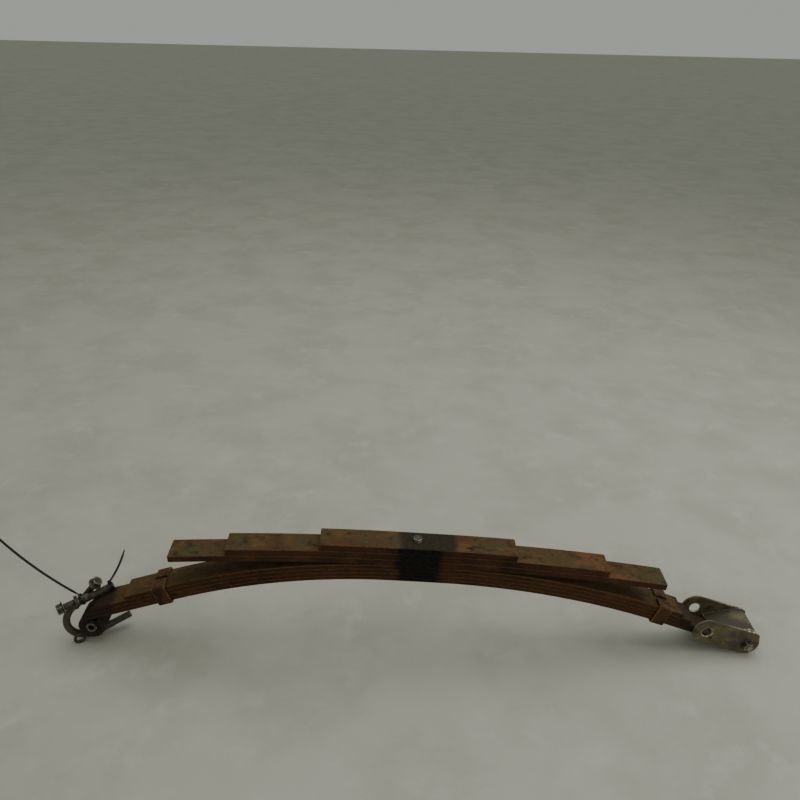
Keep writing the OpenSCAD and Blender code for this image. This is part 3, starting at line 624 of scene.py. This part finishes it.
def weathered(name, ground, coats, bumps, roughness, metallic=0.0, wear_and_highlight=None, local=(),
              specular=0.5):
    """A weathered surface. ground is its colour. Each coat is (colour, size in mm, where its noise starts and is
    full, stretch along the spring, the side it lies on). The argument after metallic is a bright edge colour:
    wear, and on the leaves, the shackle and the sleeves a painted highlight too. It is (colour, the edge attribute
    where it starts and is full), or a colour alone for the leaves, whose meshes have no such attribute and whose
    long edges are found by their normals. A local coat lies over both: (colour, the two x it lies between in mm,
    its side). bumps are (size in mm, depth in mm). roughness is (least, most)."""
    made = bpy.data.materials.new(name)
    made.use_nodes = True
    tree = made.node_tree
    shader = tree.nodes["Principled BSDF"]
    space = add(tree, "TexCoord")
    along = add(tree, "Mapping", {
        "Vector": space.outputs["Object"], "Rotation": (0, math.radians(-LIE), 0),
    })
    faces = add(tree, "SeparateXYZ", {"Vector": space.outputs["Normal"]})
    sideways = add(tree, "Math", {0: faces.outputs["Y"]}, operation="ABSOLUTE")
    sides = {"all": None}
    for side, value, start, full in (
        ("up", faces.outputs["Z"], 0.45, 0.9),
        ("down", faces.outputs["Z"], -0.3, -0.8),
        ("side", sideways.outputs[0], 0.4, 0.9),
    ):
        reaches = {"Value": value, "From Min": start, "From Max": full}
        sides[side] = add(tree, "MapRange", reaches, interpolation_type="SMOOTHSTEP").outputs[0]
    base = colour(ground)

    def mottle(size, stretch=1.0, detail=5.0):
        """Noise whose cells are size mm across, longer along the spring by the stretch."""
        where = add(tree, "Mapping", {"Vector": along.outputs[0], "Scale": (1 / stretch, 1, 1)})
        return add(tree, "TexNoise", {
            "Vector": where.outputs[0], "Scale": 1000 / size, "Detail": detail, "Roughness": 0.62,
        }).outputs[0]

    def laid(under, code, mask, side):
        """The colour over what is under it, where the mask and the side say."""
        if sides[side]:
            mask = add(tree, "Math", {0: mask, 1: sides[side]}, operation="MULTIPLY").outputs[0]
        over_it = {0: mask, 6: under, 7: colour(code)}
        return add(tree, "Mix", over_it, data_type="RGBA").outputs[2]

    for code, size, low, high, stretch, side in coats:
        reaches = {"Value": mottle(size, stretch), "From Min": low, "From Max": high}
        mask = add(tree, "MapRange", reaches, interpolation_type="SMOOTHSTEP")
        base = laid(base, code, mask.outputs[0], side)
    if wear_and_highlight:
        code, start, full = wear_and_highlight if len(wear_and_highlight) == 3 else (wear_and_highlight[0], 0.22, 0.5)
        if len(wear_and_highlight) == 3:
            edge = add(tree, "Attribute", attribute_name="edge").outputs["Fac"]
        else:
            both = {0: sideways.outputs[0], 1: faces.outputs["Z"]}
            edge = add(tree, "Math", both, operation="MULTIPLY").outputs[0]
        edge = add(tree, "MapRange", {"Value": edge, "From Min": start, "From Max": full})
        chips_and_glints = add(tree, "MapRange", {"Value": mottle(7), "From Min": 0.36, "From Max": 0.56})
        mask = add(tree, "Math", {0: edge.outputs[0], 1: chips_and_glints.outputs[0]}, operation="MULTIPLY")
        base = laid(base, code, mask.outputs[0], "all")
    wander = add(tree, "Math", {0: mottle(35), 1: 0.03, 2: -0.015}, operation="MULTIPLY_ADD")
    across = add(tree, "SeparateXYZ", {"Vector": along.outputs[0]})
    place = add(tree, "Math", {0: across.outputs["X"], 1: wander.outputs[0]}, operation="ADD")
    for code, start, end, side in local:
        middle = (start + end) / 2000
        off = add(tree, "Math", {0: place.outputs[0], 1: middle}, operation="SUBTRACT")
        off = add(tree, "Math", {0: off.outputs[0]}, operation="ABSOLUTE")
        half = (end - start) / 2000
        reaches = {"Value": off.outputs[0], "From Min": half + 0.010, "From Max": half - 0.010}
        mask = add(tree, "MapRange", reaches, interpolation_type="SMOOTHSTEP")
        base = laid(base, code, mask.outputs[0], side)
    tree.links.new(base, shader.inputs["Base Color"])
    gloss = add(tree, "MapRange", {
        "Value": mottle(9), "From Min": 0.35, "From Max": 0.65,
        "To Min": roughness[0], "To Max": roughness[1],
    })
    tree.links.new(gloss.outputs[0], shader.inputs["Roughness"])
    shader.inputs["Metallic"].default_value = metallic
    shader.inputs["Specular IOR Level"].default_value = specular
    normal = None
    for size, depth in bumps:
        relief = {"Height": mottle(size), "Distance": depth / 1000, "Strength": 1.0}
        bump = add(tree, "Bump", relief)
        if normal:
            tree.links.new(normal, bump.inputs["Normal"])
        normal = bump.outputs[0]
    tree.links.new(normal, shader.inputs["Normal"])
    return made


# Hot-rolled spring steel, long rusted: matt red-brown with ochre dust on the tops, rolling streaks along the leaf,
# browner upper edges that are partly wear and partly a painted highlight, painted shade near black on the faces
# that look down, black oil where the axle was clamped and darker ends at both eyes. The pits are 1 to 3 mm in life
# and are drawn at 3 and 9 mm, so that they show.
leaf_steel = weathered(
    "hot_rolled_spring_steel_rusted", "#3f2512",
    [
        ("#23140a", 95, 0.42, 0.66, 1.8, "all"),
        ("#523019", 42, 0.50, 0.72, 1.6, "all"),
        ("#49381c", 130, 0.30, 0.52, 1.4, "up"),
        ("#413c1f", 85, 0.50, 0.66, 1.2, "up"),
        ("#5f4020", 60, 0.54, 0.70, 1.2, "up"),
        ("#5c4822", 16, 0.52, 0.78, 4.0, "up"),
        ("#30240f", 24, 0.52, 0.68, 1.0, "up"),
        ("#150e07", 55, 0.60, 0.74, 1.5, "all"),
        ("#68401f", 6, 0.62, 0.74, 1.0, "all"),
        ("#756a4c", 4, 0.68, 0.78, 1.0, "up"),
        # Painted shade: near black on the faces that look down.
        ("#140d08", 30, 0.40, 0.60, 1.0, "down"),
    ],
    # Browner upper long edges: partly wear, partly a painted highlight.
    [(9, 0.5), (3, 0.25)], (0.6, 0.92), 0.0, ("#5f4322",),
    [
        ("#060504", -42, 52, "side"),
        ("#252012", -36, 82, "up"),
        ("#2a1f13", -800, -655, "all"),
        ("#2f2215", 600, 800, "all"),
    ],
    specular=0.22,
)
# Mild steel strap, rusted: the same red-brown, yellower and smoother where it was bent.
clip_steel = weathered(
    "mild_steel_strap_rusted", "#452e17",
    [
        ("#26170b", 24, 0.45, 0.65, 1.0, "all"),
        ("#5b4020", 14, 0.50, 0.70, 1.0, "up"),
        ("#7b461c", 5, 0.60, 0.74, 1.0, "all"),
    ],
    [(5, 0.3), (1.8, 0.12)], (0.6, 0.9), 0.0, ("#6b502c", 0.08, 0.3), specular=0.25,
)
# Pressed steel with an olive passivated coat: satin khaki, greyer and browner where dirt and rust have got in,
# darker on what faces up, pale on its rims, partly wear and partly a painted highlight.
shackle_steel = weathered(
    "pressed_steel_olive_passivated", "#5d553a",
    [
        ("#464236", 30, 0.42, 0.62, 1.0, "all"),
        ("#6e6240", 22, 0.48, 0.66, 1.0, "all"),
        ("#3a3421", 40, 0.25, 0.50, 1.0, "up"),
        ("#3b2c1a", 26, 0.56, 0.72, 1.0, "all"),
        ("#6a4724", 5, 0.64, 0.76, 1.0, "all"),
        ("#8d866c", 2.5, 0.68, 0.76, 1.0, "all"),
    ],
    # Pale rims: partly wear, partly a painted highlight.
    [(7, 0.2), (1.5, 0.05)], (0.42, 0.7), 0.2, ("#c2bca2", 0.05, 0.16),
)
# Weld metal, mill scaled: the same khaki dirt over a dull grey ripple.
weld_metal = weathered(
    "weld_metal_scaled", "#4f4934",
    [("#38332a", 9, 0.42, 0.62, 1.0, "all"), ("#5a4526", 5, 0.60, 0.74, 1.0, "all")],
    [(3, 0.1), (1.2, 0.05)], (0.5, 0.75), 0.2,
)
# Zinc-plated bolt steel under grime: dull grey-olive with dark thread roots and bright corners.
bolt_steel = weathered(
    "zinc_plated_bolt_steel_grimy", "#3c3829",
    [
        ("#231f17", 9, 0.42, 0.62, 1.0, "all"),
        ("#574e38", 5, 0.55, 0.70, 1.0, "all"),
        ("#5a3d22", 4, 0.64, 0.74, 1.0, "all"),
    ],
    [(3, 0.15), (1.2, 0.05)], (0.35, 0.65), 0.4, ("#9d9782", 0.18, 0.55),
)
# Drawn rod of the U-bolt, blackened and weathered to a grey olive.
rod_steel = weathered(
    "drawn_rod_steel_weathered", "#4c4837",
    [
        ("#332f23", 26, 0.42, 0.62, 1.0, "all"),
        ("#4e4530", 12, 0.52, 0.70, 1.0, "all"),
        ("#5b4026", 6, 0.62, 0.74, 1.0, "all"),
    ],
    [(5, 0.2), (1.6, 0.08)], (0.42, 0.72), 0.3, ("#77715d", 0.25, 0.7),
)
# Bush sleeve ends, bright on their rims, partly rubbed bare and partly a painted glint: cut steel with brown film
# between the scratches.
sleeve_steel = weathered(
    "cut_tube_steel_rubbed_and_painted_glints", "#332d22",
    [("#1c170f", 8, 0.38, 0.56, 1.0, "all"), ("#5a5342", 4, 0.55, 0.70, 1.0, "all")],
    # Bright rims: partly wear, partly a painted glint.
    [(2.5, 0.1), (1.0, 0.05)], (0.32, 0.6), 0.55, ("#b5ae98", 0.35, 0.9),
)
# Natural rubber of the bushes, aged: black, matt, dusty in its groove.
bush_rubber = weathered(
    "natural_rubber_aged", "#12110f",
    [("#2a261f", 10, 0.50, 0.72, 1.0, "all"), ("#1b1813", 3, 0.50, 0.70, 1.0, "all")],
    [(2.5, 0.12), (1.0, 0.05)], (0.6, 0.9),
)
# Moulded nylon of the cable ties: black with a soft sheen, finely ribbed.
tie_nylon = weathered(
    "moulded_nylon_black", "#0a0a0a",
    [("#171613", 12, 0.52, 0.72, 1.0, "all")],
    [(2.0, 0.03), (0.8, 0.02)], (0.42, 0.58), specular=0.3,
)
for made, index in ((leaf_steel, 1.5), (clip_steel, 1.5), (bush_rubber, 1.52), (tie_nylon, 1.53)):
    made.node_tree.nodes["Principled BSDF"].inputs["IOR"].default_value = index

for name in (
    "main_leaf", "second_leaf", "third_leaf", "fourth_leaf",
    "helper_leaf_long", "helper_leaf_middle", "helper_leaf_short",
):
    mesh = frame["nodes"][name].data
    mesh.materials.clear()
    mesh.materials.append(leaf_steel)

# ---- The pieces ----

SPRING, SHACKLE, CORE = "spring", "shackle", "front_bush_core"
OUT = PLATES_IN + PLATE_T

piece("centre_bolt_dowel_head", [moved_to(LYING, centre_bolt_body())],
      bolt_steel, SPRING, "hardware_steel", "centre_bolt")
piece("centre_bolt_lower_nut",
      [moved_to(LYING, skin(nut(PACK_LOW - HEX_H, PACK_LOW, CENTRE_R), True))],
      bolt_steel, SPRING, "hardware_steel", "centre_bolt_nut")
for end, place, lift in (("front", AT_FRONT_CLIP, 0.4), ("rear", AT_REAR_CLIP, 0.3)):
    piece(f"{end}_clip_strap", [moved_to(place, clip_strap(lift))],
          clip_steel, SPRING, "clip_steel", f"{end}_clip")
piece("clip_rivet_pair", [
    moved_to(place @ turned(x=90), skin(rivet_body())) for place in (AT_FRONT_CLIP, AT_REAR_CLIP)
], clip_steel, SPRING, "clip_steel", "clip_rivets")

# Each bush: its outer tube, the rubber moulded in it, and the inner tube that the bolt holds.
HALF_EYE, HALF_RUBBER = LEAF_W / 2, LEAF_W / 2 - RUBBER_INSET
REAR_TUBE_R, FRONT_TUBE_R = REAR_BORE_R - REAR_WALL, FRONT_BORE_R - FRONT_WALL
piece("front_bush_outer_tube",
      [moved_to(AT_FRONT_EYE, skin(ring_piece(FRONT_TUBE_R, FRONT_BORE_R, HALF_EYE), True))],
      sleeve_steel, SPRING, "bare_steel", "front_bush_outer_sleeve")
front_rubber = rubber_ring(FRONT_CORE_R + CORE_PLAY, FRONT_TUBE_R, HALF_RUBBER)
piece("front_bush_moulding", [moved_to(AT_FRONT_EYE, skin(front_rubber, True))],
      bush_rubber, SPRING, "rubber", "front_bush_rubber")
front_core = ring_piece(FRONT_HOLE_R, FRONT_CORE_R, HALF_EYE + FRONT_PROUD, 0.8, 0.5)
piece("front_bush_inner_tube", [moved_to(AT_FRONT_EYE, skin(front_core, True))],
      sleeve_steel, CORE, "bare_steel", "front_bush_inner_sleeve")
piece("rear_bush_outer_tube",
      [moved_to(AT_REAR_EYE, skin(ring_piece(REAR_TUBE_R, REAR_BORE_R, HALF_EYE, 0.5), True))],
      sleeve_steel, SPRING, "bare_steel", "rear_bush_outer_sleeve")
rear_rubber = rubber_ring(REAR_CORE_R + CORE_PLAY, REAR_TUBE_R, HALF_RUBBER, 2)
piece("rear_bush_moulding", [moved_to(AT_REAR_EYE, skin(rear_rubber, True))],
      bush_rubber, SPRING, "rubber", "rear_bush_rubber")
piece("rear_bush_inner_tube",
      [moved_to(AT_REAR_EYE, skin(ring_piece(PIVOT_R, REAR_CORE_R, PLATES_IN, 0.6), True))],
      sleeve_steel, SHACKLE, "bare_steel", "rear_bush_inner_sleeve")

plate_circles = [(0, 0, PLATE_PIVOT_R), PLATE_CORNER, (*HOLE_AT, PLATE_FREE_R)]
plate_holes = [(0, 0, PIVOT_R), (*HOLE_AT, HOLE_R)]
piece("shackle_near_plate",
      [moved_to(AT_SHACKLE, plate(PLATES_IN, OUT, plate_circles, plate_holes))],
      shackle_steel, SHACKLE, "shackle_steel", "shackle_front_plate")
piece("shackle_far_plate",
      [moved_to(AT_SHACKLE, plate(-OUT, -PLATES_IN, plate_circles, plate_holes))],
      shackle_steel, SHACKLE, "shackle_steel", "shackle_rear_plate")
piece("shackle_web_strap", [moved_to(AT_SHACKLE, shackle_web())],
      shackle_steel, SHACKLE, "shackle_steel", "shackle_web")
# The far weld runs the web's whole length, the near one only as far as the slot.
piece("shackle_welds", [
    moved_to(AT_SHACKLE, weld_bead(-PLATES_IN, 4, 104)),
    moved_to(AT_SHACKLE, weld_bead(PLATES_IN, 4, 40)),
], weld_metal, SHACKLE, "shackle_steel")
UNDER_HEAD = OUT + WASHER_T
pivot_head = np.concatenate([hex_side(0, HEX_H), dished_top(HEX_H)])[::-1] * (1, 1, -1)
bolt_shank = shank(2 * UNDER_HEAD + HEX_H + PIVOT_OUT, PIVOT_R, PIVOT_THREAD)
pivot_bolt = np.concatenate([pivot_head, bolt_shank]) - (0, 0, UNDER_HEAD)
piece("shackle_pivot_bolt", [moved_to(AT_REAR_EYE, skin(pivot_bolt))],
      bolt_steel, SHACKLE, "hardware_steel", "shackle_bolt")
piece("shackle_pivot_nut",
      [moved_to(AT_REAR_EYE, skin(nut(UNDER_HEAD, UNDER_HEAD + HEX_H, PIVOT_R), True))],
      bolt_steel, SHACKLE, "hardware_steel", "shackle_nut")
piece("shackle_washer_pair", [
    moved_to(AT_REAR_EYE @ turned(at=(0, 0, way * (OUT + WASHER_T / 2))),
             skin(ring_piece(PIVOT_R, WASHER_R, WASHER_T / 2, 0.6), True))
    for way in (-1, 1)
], bolt_steel, SHACKLE, "hardware_steel", "shackle_washers")

piece("u_bolt_rod", [moved_to(AT_U_BOLT, u_bolt_rod())],
      rod_steel, SPRING, "hardware_steel", "u_bolt")
# The loose bolts lie on the U-bolt's upper leg, a seat gap off it.
off_leg = ROD_R + SEAT_GAP + PIVOT_R
AT_EYE_BOLT = (
    on_upper_leg(EYE_BOLT_AT, -EYE_BOLT_SIDE)
    @ turned(z=-EYE_BOLT_CROSS, at=(0, 0, off_leg)) @ turned(at=(EYE_BOLT_PAST, 0, 0))
)
piece("eye_flange_bolt",
      [moved_to(AT_EYE_BOLT @ turned(y=90), skin(flange_bolt(EYE_BOLT_LONG, EYE_BOLT_THREAD)))],
      bolt_steel, SPRING, "hardware_steel", "eye_bolt")
tip = math.radians(HANGER_BOLT_TIP)
end_up = ROD_R + SEAT_GAP + PIVOT_R * math.cos(tip)
AT_HANGER_BOLT = (
    on_upper_leg(HANGER_BOLT_AT, HANGER_BOLT_SIDE)
    @ turned(y=HANGER_BOLT_TIP, at=(0, 0, end_up))
)
piece("hanger_flange_bolt", [
    moved_to(AT_HANGER_BOLT @ turned(y=-90, at=(-HANGER_BOLT_LONG, 0, 0)),
             skin(flange_bolt(HANGER_BOLT_LONG, HANGER_BOLT_THREAD))),
], bolt_steel, SPRING, "hardware_steel", "hanger_bolt")
piece("hanger_thick_washer", [
    moved_to(AT_HANGER_BOLT @ turned(y=90, at=(THICK_WASHER_T / 2 - THICK_WASHER_AT, 0, 0)),
             skin(ring_piece(PIVOT_R, THICK_WASHER_R, THICK_WASHER_T / 2, 0.8), True)),
], bolt_steel, SPRING, "hardware_steel", "thick_washer")

# The washer that leans on the bend stands on the floor: how high follows from the U-bolt's
# lowest point, its own radius and the legs' rise to where it leans.
lean_z = math.sin(math.radians(ROD_LEAN)) * math.cos(rise)
up_z = math.cos(math.radians(ROD_LEAN)) * math.cos(rise)
bend_drop = BEND_R * (math.hypot(up_z, math.sin(rise)) - up_z)
stood_off = ROD_R + LOOSE_WASHER_T / 2 + SEAT_GAP
stand = (
    LOOSE_WASHER_R * math.sqrt(1 - lean_z**2) - bend_drop - ROD_R
    + stood_off * lean_z - LOOSE_WASHER_AT * math.sin(rise)
) / up_z
piece("leaning_washer", [
    moved_to(AT_U_BOLT @ turned(x=90, at=(LOOSE_WASHER_AT, -stood_off, stand)),
             skin(ring_piece(LOOSE_HOLE_R, LOOSE_WASHER_R, LOOSE_WASHER_T / 2, 0.7), True)),
], bolt_steel, SPRING, "hardware_steel", "loose_washer")

# The long tie holds the leg and the hanger's bolt, with its head a third of the way between
# them. The short one holds the leg alone.
bolt_up = end_up + (HANGER_BOLT_AT - LONG_TIE_AT) * math.tan(tip)
AT_LONG_TIE = on_upper_leg(LONG_TIE_AT, HANGER_BOLT_SIDE)
band_top = ROD_R + TIE_PLAY + TIE_T / 2
AT_LONG_HEAD = AT_LONG_TIE @ turned(x=-90, at=(0, band_top, bolt_up / 3))
AT_SHORT_TIE = on_upper_leg(SHORT_TIE_AT, 0)
AT_SHORT_HEAD = AT_SHORT_TIE @ turned(at=(0, 0, band_top + TIE_PLAY))
# Last four of each row: the tail's heading and climb in degrees, its length and its bend.
for name, place, head, circles, turn, climb, length, bend in (
    ("long", AT_LONG_TIE, AT_LONG_HEAD, [(0, 0, ROD_R), (0, bolt_up, PIVOT_R)],
     203, 54, 240, 900),
    ("short", AT_SHORT_TIE, AT_SHORT_HEAD, [(0, 0, ROD_R), (0, TIE_PLAY, ROD_R)],
     45, 0, 82, 160),
):
    tail = head @ turned(y=-climb, z=turn, at=(0, 0, TIE_HEAD[2] / 2))
    piece(f"{name}_tie_strap", [
        moved_to(place @ turned(x=90, z=90), tie_band(circles)),
        moved_to(head, tie_head()),
        moved_to(tail, tie_tail(length, bend)),
    ], tie_nylon, SPRING, "nylon", f"{name}_cable_tie")

# ---- Floor and light ----

# Sealed concrete: pale warm grey, matt, with faint clouds.
floor_finish = weathered(
    "sealed_concrete_pale", "#a9a89b",
    [("#a09f92", 260, 0.40, 0.65, 1.0, "all"), ("#aeada0", 90, 0.50, 0.75, 1.0, "all")],
    [(14, 0.15), (3, 0.05)], (0.6, 0.8),
)
FLOOR_REACH = 30.0
floor_mesh = bpy.data.meshes.new("floor")
floor_mesh.from_pydata([
    (x * FLOOR_REACH, y * FLOOR_REACH, cad_low.z) for x, y in ((-1, -1), (1, -1), (1, 1), (-1, 1))
], [], [(0, 1, 2, 3)])
floor_mesh.materials.append(floor_finish)
floor = bpy.data.objects.new("floor", floor_mesh)
scene.collection.objects.link(floor)

world = bpy.data.worlds.new("studio")
world.use_nodes = True
sky = world.node_tree.nodes["Background"]
sky.inputs["Color"].default_value = colour("#c9cdc6")
sky.inputs["Strength"].default_value = 0.62
scene.world = world
# Each light's place and aim in metres, size in metres and power in watts.
for name, at, aim, size, energy in (
    ("overhead_softbox", (0.3, 0.8, 3.2), (0, 0.2, -0.1), 3.6, 62),
    ("right_softbox", (2.6, 0.2, 1.4), (0.2, 0, -0.1), 1.4, 16),
    ("camera_side_fill", (0.6, -2.8, 1.5), (0.3, 0, -0.1), 1.8, 14),
):
    light = bpy.data.objects.new(name, bpy.data.lights.new(name, "AREA"))
    light.data.size, light.data.energy = size, energy
    light.location = at
    light.rotation_euler = (Vector(aim) - Vector(at)).to_track_quat("-Z", "Y").to_euler()
    scene.collection.objects.link(light)

# ---- Image points, in the photograph's 800 x 800 frame ----

WIDE = HIGH = 800
LONG = max(WIDE, HIGH)
IMAGE_POINTS = {
    # name: (x, y or None, the pieces that show there, which edges of them)
    "u_bolt_left": (64, None, ["u_bolt_rod"], ("left", None)),
    "shackle_right": (760, None, ["shackle_near_plate", "shackle_far_plate"], ("right", None)),
    "centre_bolt_head": (417, 532.5, ["centre_bolt_dowel_head"], ("middle", "top")),
    "front_eye": (91, 627, ["front_bush_inner_tube"], ("middle", "middle")),
    "pivot_nut": (748.5, 644.7, ["shackle_pivot_nut"], ("middle", "middle")),
    "long_helper_left": (167, None, ["helper_leaf_long"], ("left", None)),
    "long_helper_right": (667.5, None, ["helper_leaf_long"], ("right", None)),
    "middle_helper_left": (223.7, None, ["helper_leaf_middle"], ("left", None)),
    "middle_helper_right": (610.4, None, ["helper_leaf_middle"], ("right", None)),
    "short_helper_left": (318.8, None, ["helper_leaf_short"], ("left", None)),
    "short_helper_right": (517.6, None, ["helper_leaf_short"], ("right", None)),
    "eye_bolt_head": (102.5, 577.9, ["eye_flange_bolt"], ("right", "top")),
    "hanger_bolt_head": (54.8, 615.2, ["hanger_flange_bolt"], ("left", "bottom")),
    "leaning_washer": (79, 639, ["leaning_washer"], ("middle", "middle")),
    "upper_leg_end": (None, 583.5, ["u_bolt_rod"], (None, "top")),
}


def in_image(points):
    """Where points in metres show: camera axes, then divided by their depth."""
    local = (np.asarray(points) - np.array(CAMERA_AT)) @ np.array(CAMERA_AXES)
    scale = LONG * LENS / SENSOR / -local[:, 2]
    return np.stack([WIDE / 2 + local[:, 0] * scale, HIGH / 2 - local[:, 1] * scale], axis=-1)


bpy.context.view_layer.update()
graph = bpy.context.evaluated_depsgraph_get()


def shows(point):
    """Whether a ray from the camera reaches that point, to within a millimetre."""
    way = Vector(point) - CAMERA_AT
    hit, where, *_ = scene.ray_cast(graph, CAMERA_AT, way.normalized())
    return not hit or (where - CAMERA_AT).length > way.length - 0.001


def extremes(names):
    """Left, right, top and bottom of what shows of the pieces, by their vertices."""
    places = []
    for name in names:
        mesh = bpy.data.objects[name].data
        flat = np.empty(len(mesh.vertices) * 3)
        mesh.vertices.foreach_get("co", flat)
        places.append(flat.reshape(-1, 3))
    places = np.concatenate(places)
    image = in_image(places)
    found = {}
    for side, axis, sign in (("left", 0, 1), ("right", 0, -1), ("top", 1, 1), ("bottom", 1, -1)):
        order = np.argsort(sign * image[:, axis])[:4000]
        first = next((k for k in order if shows(places[k])), order[0])
        found[side] = float(image[first, axis])
    return found


for name, (x, y, names, (edge_x, edge_y)) in IMAGE_POINTS.items():
    found = extremes(names)
